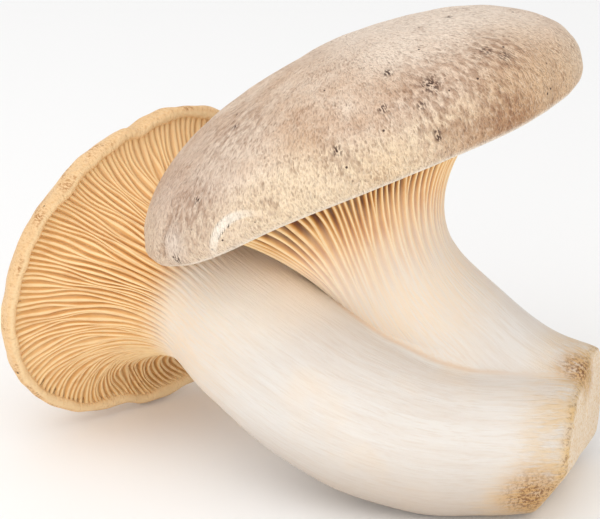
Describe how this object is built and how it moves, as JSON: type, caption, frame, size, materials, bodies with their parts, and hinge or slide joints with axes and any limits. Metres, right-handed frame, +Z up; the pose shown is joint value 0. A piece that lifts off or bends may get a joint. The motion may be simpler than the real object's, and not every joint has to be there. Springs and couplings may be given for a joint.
{
  "type": "oyster mushroom cluster",
  "caption": "Fresh mushroom cluster lying on its side: thick curved stems grown from one cut foot, domed caps, and ridged gills that run down on to the stems.",
  "frame": {"origin": "on the table, under the middle of the cluster's bounding box", "axes": "+Z up from the table, +X along the cluster towards the cut foot, +Y across it towards the back of the lower cap, so the picture looks along +Y and down"},
  "size_m": [0.1444, 0.1004, 0.1116],
  "materials": {
    "stem_flesh": "soft matte cream flesh with fine fibres",
    "cap_skin": "soft matte grey-brown skin with fine fibres",
    "gill_flesh": "soft matte pale orange flesh"
  },
  "bodies": {
    "root": {"stems": "stem_flesh", "front_cap": "cap_skin", "front_gills": "gill_flesh", "rear_cap": "cap_skin", "rear_gills": "gill_flesh"}
  },
  "joints": []
}
